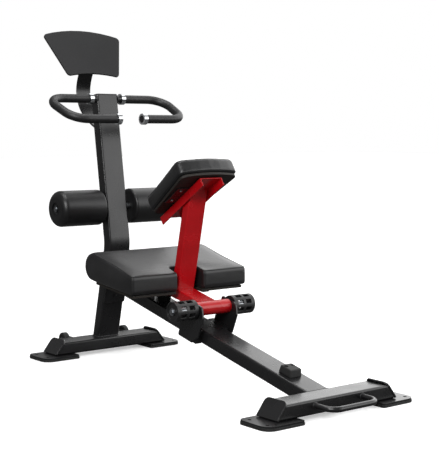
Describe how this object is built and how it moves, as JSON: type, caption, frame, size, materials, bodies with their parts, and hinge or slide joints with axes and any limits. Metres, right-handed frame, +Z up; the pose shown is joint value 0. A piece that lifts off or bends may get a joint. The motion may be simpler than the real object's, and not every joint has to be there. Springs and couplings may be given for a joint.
{
  "type": "kneeling stretch trainer",
  "caption": "Kneeling stretch trainer: padded saddle on an arm that rocks about a cross shaft, knee pad, foam leg rollers, bent column with looped handlebars and a board.",
  "frame": {"origin": "on the floor in the machine's middle plane, half way between the lift handle's front and the board's rear edge", "axes": "+X to the user's side, +Y towards the column and the board, +Z up"},
  "size_m": [0.67, 1.6748, 1.3423],
  "materials": {
    "black_powder_coat": "satin powder coat",
    "red_powder_coat": "glossy powder coat",
    "chrome": "polished",
    "steel": "turned",
    "bronze": "sintered",
    "black_vinyl": "grained upholstery vinyl",
    "plywood": "stained birch ply",
    "foam_rubber": "skinned closed-cell foam",
    "black_rubber": "matt moulded",
    "black_plastic": "moulded nylon",
    "board_laminate": "matt compact laminate"
  },
  "bodies": {
    "frame": {"rear_foot_tube": "black_powder_coat", "rear_end_plate_right": "black_powder_coat", "rear_end_plate_left": "black_powder_coat", "rear_foot_plate_right": "black_powder_coat", "rear_foot_plate_left": "black_powder_coat", "rear_foot_rubber_right": "black_rubber", "rear_foot_rubber_left": "black_rubber", "front_foot_tube": "black_powder_coat", "front_end_plate_right": "black_powder_coat", "front_end_plate_left": "black_powder_coat", "front_foot_plate_right": "black_powder_coat", "front_foot_plate_left": "black_powder_coat", "front_foot_rubber_right": "black_rubber", "front_foot_rubber_left": "black_rubber", "column": "black_powder_coat", "column_cap": "black_plastic", "main_beam": "black_powder_coat", "beam_flange": "black_powder_coat", "knee_pad": "black_vinyl", "knee_pad_board": "plywood", "pad_rail_right": "black_powder_coat", "pad_rail_left": "black_powder_coat", "pad_riser": "black_powder_coat", "roller_shaft": "steel", "handlebar_right": "black_powder_coat", "handlebar_left": "black_powder_coat", "grip_right": "black_rubber", "grip_left": "black_rubber", "back_collar_right": "chrome", "back_collar_left": "chrome", "front_collar_right": "chrome", "front_collar_left": "chrome", "instruction_board": "board_laminate", "neck_strip": "black_powder_coat", "pivot_tower_right": "black_powder_coat", "pivot_tower_left": "black_powder_coat", "pivot_shaft": "steel", "rest_buffer": "black_rubber", "front_stop_block": "black_rubber", "lift_handle": "black_powder_coat", "wheel_bracket_right": "black_powder_coat", "wheel_bracket_left": "black_powder_coat"},
    "arm": {"cross_tube": "red_powder_coat", "pivot_bush_right": "bronze", "pivot_bush_left": "bronze", "arm_foot_bar": "red_powder_coat", "arm_post": "red_powder_coat", "saddle_channel": "red_powder_coat", "saddle_plate": "black_powder_coat", "saddle_board": "plywood", "saddle_cushion": "black_vinyl"},
    "roller_right": {"roller_foam_right": "foam_rubber", "roller_hub_right": "black_plastic"},
    "roller_left": {"roller_foam_left": "foam_rubber", "roller_hub_left": "black_plastic"},
    "peg_right": {"foot_peg_right": "black_plastic"},
    "peg_left": {"foot_peg_left": "black_plastic"},
    "wheel_right": {"wheel_right": "black_rubber"},
    "wheel_left": {"wheel_left": "black_rubber"}
  },
  "joints": [
    {"name": "arm_rock", "type": "hinge", "parent": "frame", "child": "arm", "pos_m": [0, -0.07468, 0.27005], "axis": [1, 0, 0], "range_deg": [0, 107]},
    {"name": "roller_right_spin", "type": "hinge", "parent": "frame", "child": "roller_right", "pos_m": [0.18, 0.585, 0.61], "axis": [1, 0, 0], "continuous": true},
    {"name": "roller_left_spin", "type": "hinge", "parent": "frame", "child": "roller_left", "pos_m": [-0.18, 0.585, 0.61], "axis": [1, 0, 0], "continuous": true},
    {"name": "peg_right_spin", "type": "hinge", "parent": "frame", "child": "peg_right", "pos_m": [0.1325, -0.07468, 0.27005], "axis": [1, 0, 0], "continuous": true},
    {"name": "peg_left_spin", "type": "hinge", "parent": "frame", "child": "peg_left", "pos_m": [-0.1325, -0.07468, 0.27005], "axis": [1, 0, 0], "continuous": true},
    {"name": "wheel_right_spin", "type": "hinge", "parent": "frame", "child": "wheel_right", "pos_m": [0.147, 0.74032, 0.05], "axis": [1, 0, 0], "continuous": true},
    {"name": "wheel_left_spin", "type": "hinge", "parent": "frame", "child": "wheel_left", "pos_m": [-0.147, 0.74032, 0.05], "axis": [1, 0, 0], "continuous": true}
  ]
}
